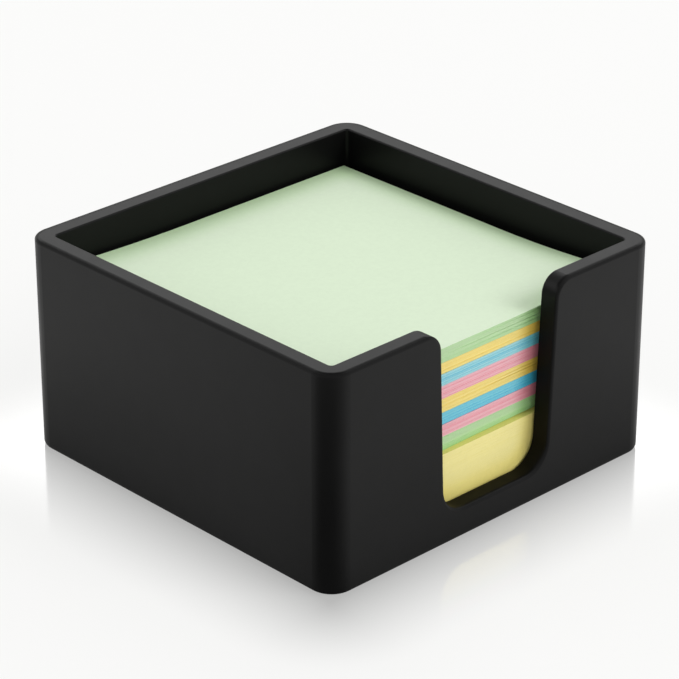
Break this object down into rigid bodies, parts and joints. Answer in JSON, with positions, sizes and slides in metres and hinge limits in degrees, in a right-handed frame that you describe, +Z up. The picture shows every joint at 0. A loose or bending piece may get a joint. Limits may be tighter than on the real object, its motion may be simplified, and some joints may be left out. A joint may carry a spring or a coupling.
{
  "type": "sticky note dispenser",
  "caption": "Square, open-topped holder in matt black plastic, filled with coloured square notes, with a U-shaped finger notch in its front wall.",
  "frame": {"origin": "centre of the holder's base, on the surface that it stands on", "axes": "+Z up, out of the open top; -Y is the side of the finger notch, +X to the right of someone facing the notch"},
  "size_m": [0.088, 0.087, 0.0458],
  "materials": {
    "black_plastic": "fine matt moulded surface",
    "green_paper": "uncoated, pale green",
    "yellow_paper": "uncoated, yellow",
    "blue_paper": "uncoated, light blue",
    "deep_blue_paper": "uncoated, blue",
    "pink_paper": "uncoated, pink",
    "pale_yellow_paper": "uncoated, pale yellow"
  },
  "bodies": {
    "root": {"holder": "black_plastic", "thick_yellow_pad": "pale_yellow_paper", "lower_green_pad": "green_paper", "lower_pink_pad": "pink_paper", "lower_blue_pad": "deep_blue_paper", "middle_yellow_pad": "yellow_paper", "upper_pink_pad": "pink_paper", "upper_blue_pad": "blue_paper", "upper_yellow_pad": "yellow_paper", "top_green_pad": "green_paper"}
  },
  "joints": []
}
